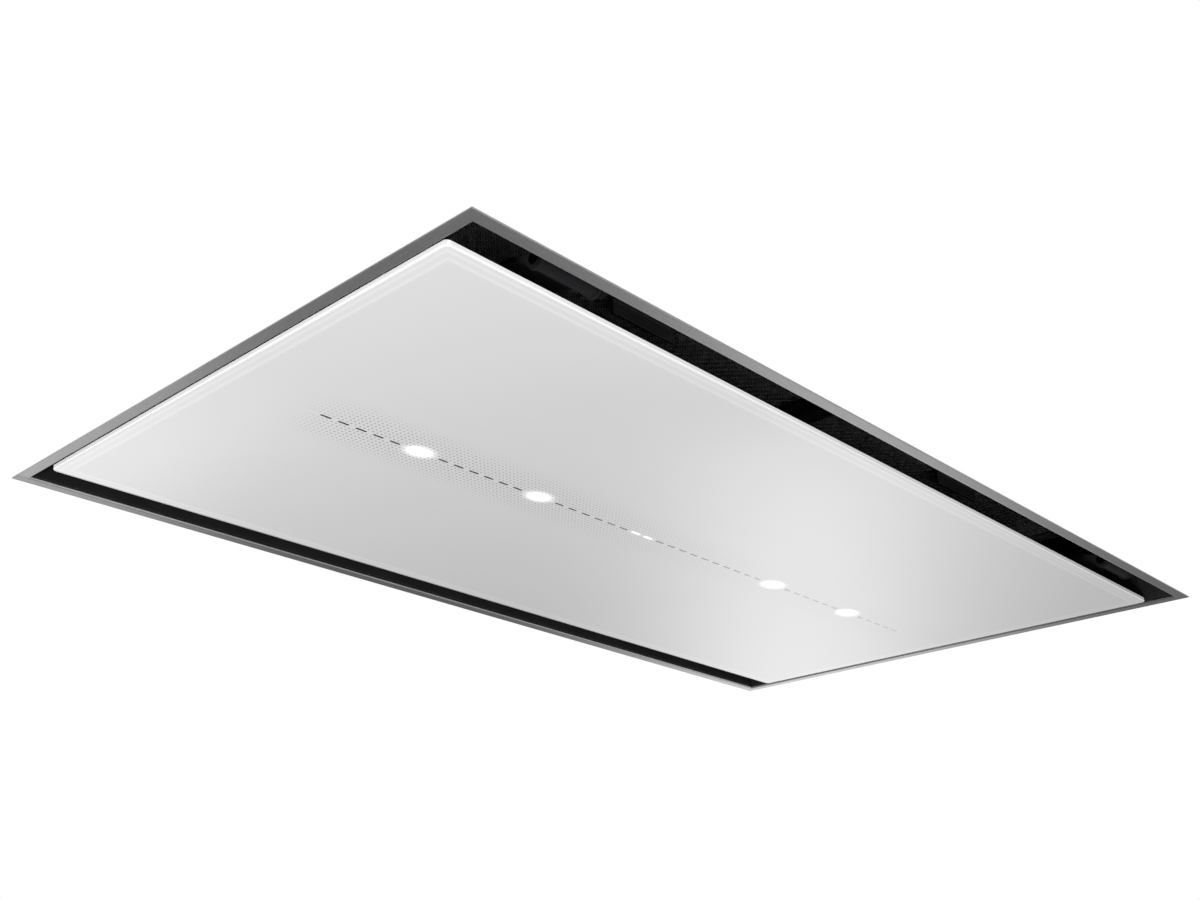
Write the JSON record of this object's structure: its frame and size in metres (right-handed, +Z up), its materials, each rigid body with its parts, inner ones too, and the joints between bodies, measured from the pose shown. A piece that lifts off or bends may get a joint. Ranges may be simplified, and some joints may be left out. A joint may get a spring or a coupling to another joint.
{
  "type": "ceiling range hood",
  "caption": "Flush ceiling range hood: stainless trim frame round a white glass panel that swings down, with edge suction, blower box and duct spigot above.",
  "frame": {"origin": "centre of the trim frame in the plane of the ceiling's underside, the trim's upper face", "axes": "+X along the long side, +Y along the short side away from the panel's hinge, +Z up into the ceiling"},
  "size_m": [0.9, 0.5, 0.299],
  "materials": {
    "stainless": "brushed stainless steel, long grain",
    "black_paint": "satin black powder coat",
    "galvanised": "galvanised sheet with faint spangle",
    "white_glass": "glossy toughened glass, printed white from behind",
    "aluminium": "expanded aluminium mesh and rim",
    "zinc": "bright zinc-plated steel",
    "black_plastic": "matte moulded plastic",
    "grey_plastic": "matte moulded plastic",
    "lamp_white": "opal diffuser",
    "board_green": "lacquered circuit board",
    "motor_steel": "dark coated steel"
  },
  "bodies": {
    "housing": {"clamp_pocket_1": "black_paint", "clamp_pocket_2": "black_paint", "clamp_pocket_3": "black_paint", "clamp_pocket_4": "black_paint", "control_board": "board_green", "electronics_box": "grey_plastic", "electronics_lid": "grey_plastic", "end_wall_left": "black_paint", "end_wall_right": "black_paint", "filter_core_left": "aluminium", "filter_core_right": "aluminium", "filter_frame_left": "aluminium", "filter_frame_right": "aluminium", "filter_shelf": "black_paint", "front_wall": "black_paint", "hanger_bracket_1": "galvanised", "hanger_bracket_2": "galvanised", "hanger_bracket_3": "galvanised", "hanger_bracket_4": "galvanised", "hinge_bracket_left": "black_paint", "hinge_bracket_right": "black_paint", "hinge_pin_left": "zinc", "hinge_pin_right": "zinc", "inlet_ring": "black_plastic", "magnet_catch_left": "black_paint", "magnet_catch_right": "black_paint", "mains_gland": "grey_plastic", "motor_box": "galvanised", "motor_box_lid": "galvanised", "motor_mount": "galvanised", "motor_stator": "motor_steel", "outlet_spigot": "black_plastic", "plenum_top": "galvanised", "rear_wall": "black_paint", "scroll_cover": "galvanised", "scroll_housing": "galvanised", "trim_frame": "stainless"},
    "panel": {"panel_glass": "white_glass", "panel_pan": "black_paint", "display_board": "board_green", "lamp_1": "lamp_white", "lamp_2": "lamp_white", "lamp_3": "lamp_white", "lamp_4": "lamp_white", "hinge_arm_left": "black_paint", "hinge_arm_right": "black_paint"},
    "blower_wheel": {"impeller": "black_plastic", "motor_rotor": "motor_steel"},
    "front_flap": {"flap_front": "black_plastic"},
    "rear_flap": {"flap_rear": "black_plastic"},
    "left_latch": {"filter_latch_left": "zinc"},
    "right_latch": {"filter_latch_right": "zinc"},
    "screw_1": {"clamp_screw_1": "zinc"},
    "wing_1": {"clamp_wing_1": "zinc"},
    "screw_2": {"clamp_screw_2": "zinc"},
    "wing_2": {"clamp_wing_2": "zinc"},
    "screw_3": {"clamp_screw_3": "zinc"},
    "wing_3": {"clamp_wing_3": "zinc"},
    "screw_4": {"clamp_screw_4": "zinc"},
    "wing_4": {"clamp_wing_4": "zinc"}
  },
  "joints": [
    {"name": "panel_swing", "type": "hinge", "parent": "housing", "child": "panel", "pos_m": [0, -0.224, 0.012], "axis": [-1, 0, 0], "range_deg": [0, 85]},
    {"name": "wheel_spin", "type": "hinge", "parent": "housing", "child": "blower_wheel", "pos_m": [-0.02996, 0.05486, 0.2], "axis": [0, 0, 1], "continuous": true},
    {"name": "front_flap_swing", "type": "hinge", "parent": "housing", "child": "front_flap", "pos_m": [0.2023, -0.07514, 0.21125], "axis": [0, 0, 1], "range_deg": [0, 75], "stiffness_Nm_per_rad": 0.01},
    {"name": "rear_flap_swing", "type": "hinge", "parent": "housing", "child": "rear_flap", "pos_m": [0.2023, -0.07514, 0.21125], "axis": [0, 0, -1], "range_deg": [0, 75], "stiffness_Nm_per_rad": 0.01},
    {"name": "left_latch_slide", "type": "slide", "parent": "housing", "child": "left_latch", "axis": [0, 1, 0], "range_m": [0, 0.007], "stiffness_N_per_m": 400},
    {"name": "right_latch_slide", "type": "slide", "parent": "housing", "child": "right_latch", "axis": [0, 1, 0], "range_m": [0, 0.007], "stiffness_N_per_m": 400},
    {"name": "clamp_1_swing", "type": "hinge", "parent": "housing", "child": "screw_1", "pos_m": [-0.4295, -0.159, 0.035], "axis": [0, 0, -1], "range_deg": [0, 90]},
    {"name": "clamp_1_travel", "type": "slide", "parent": "screw_1", "child": "wing_1", "axis": [0, 0, 1], "range_m": [-0.034, 0]},
    {"name": "clamp_2_swing", "type": "hinge", "parent": "housing", "child": "screw_2", "pos_m": [0.4295, -0.159, 0.035], "axis": [0, 0, 1], "range_deg": [0, 90]},
    {"name": "clamp_2_travel", "type": "slide", "parent": "screw_2", "child": "wing_2", "axis": [0, 0, 1], "range_m": [-0.034, 0]},
    {"name": "clamp_3_swing", "type": "hinge", "parent": "housing", "child": "screw_3", "pos_m": [0.4295, 0.159, 0.035], "axis": [0, 0, -1], "range_deg": [0, 90]},
    {"name": "clamp_3_travel", "type": "slide", "parent": "screw_3", "child": "wing_3", "axis": [0, 0, 1], "range_m": [-0.034, 0]},
    {"name": "clamp_4_swing", "type": "hinge", "parent": "housing", "child": "screw_4", "pos_m": [-0.4295, 0.159, 0.035], "axis": [0, 0, 1], "range_deg": [0, 90]},
    {"name": "clamp_4_travel", "type": "slide", "parent": "screw_4", "child": "wing_4", "axis": [0, 0, 1], "range_m": [-0.034, 0]}
  ]
}
